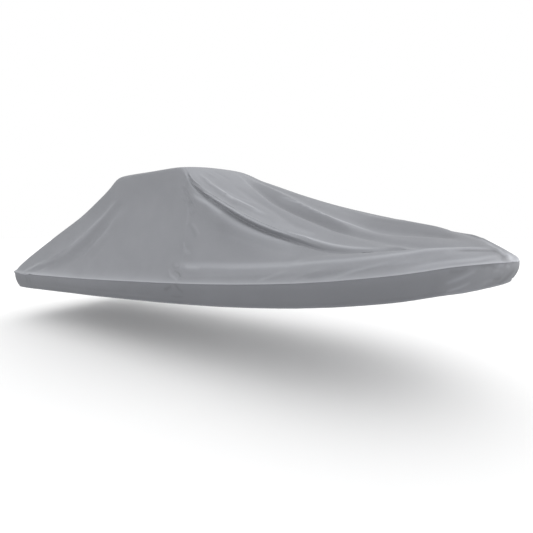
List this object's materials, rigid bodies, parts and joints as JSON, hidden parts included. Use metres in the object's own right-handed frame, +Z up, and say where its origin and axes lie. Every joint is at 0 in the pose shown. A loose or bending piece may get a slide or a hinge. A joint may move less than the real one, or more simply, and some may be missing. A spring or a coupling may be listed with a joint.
{
  "type": "boat cover",
  "caption": "Fitted hollow cloth cover for an open boat with a tower: crown panel, side panels and a drawn-in skirt, tented high amidships.",
  "frame": {"origin": "underside of the cloth on top of the tower, on the centreline, where the covered boat holds the cover up", "axes": "+X towards the bow, +Y to port, +Z up"},
  "size_m": [8.3867, 2.507, 2.0694],
  "materials": {
    "cover_cloth": "matt mid grey coated polyester, plain weave",
    "skirt_cloth": "the same cloth, a shade darker on the skirt"
  },
  "bodies": {
    "root": {"crown_panel": "cover_cloth", "starboard_aft_panel": "cover_cloth", "starboard_fore_panel": "cover_cloth", "port_aft_panel": "cover_cloth", "port_fore_panel": "cover_cloth", "starboard_skirt": "skirt_cloth", "port_skirt": "skirt_cloth", "stern_skirt": "skirt_cloth"}
  },
  "joints": []
}
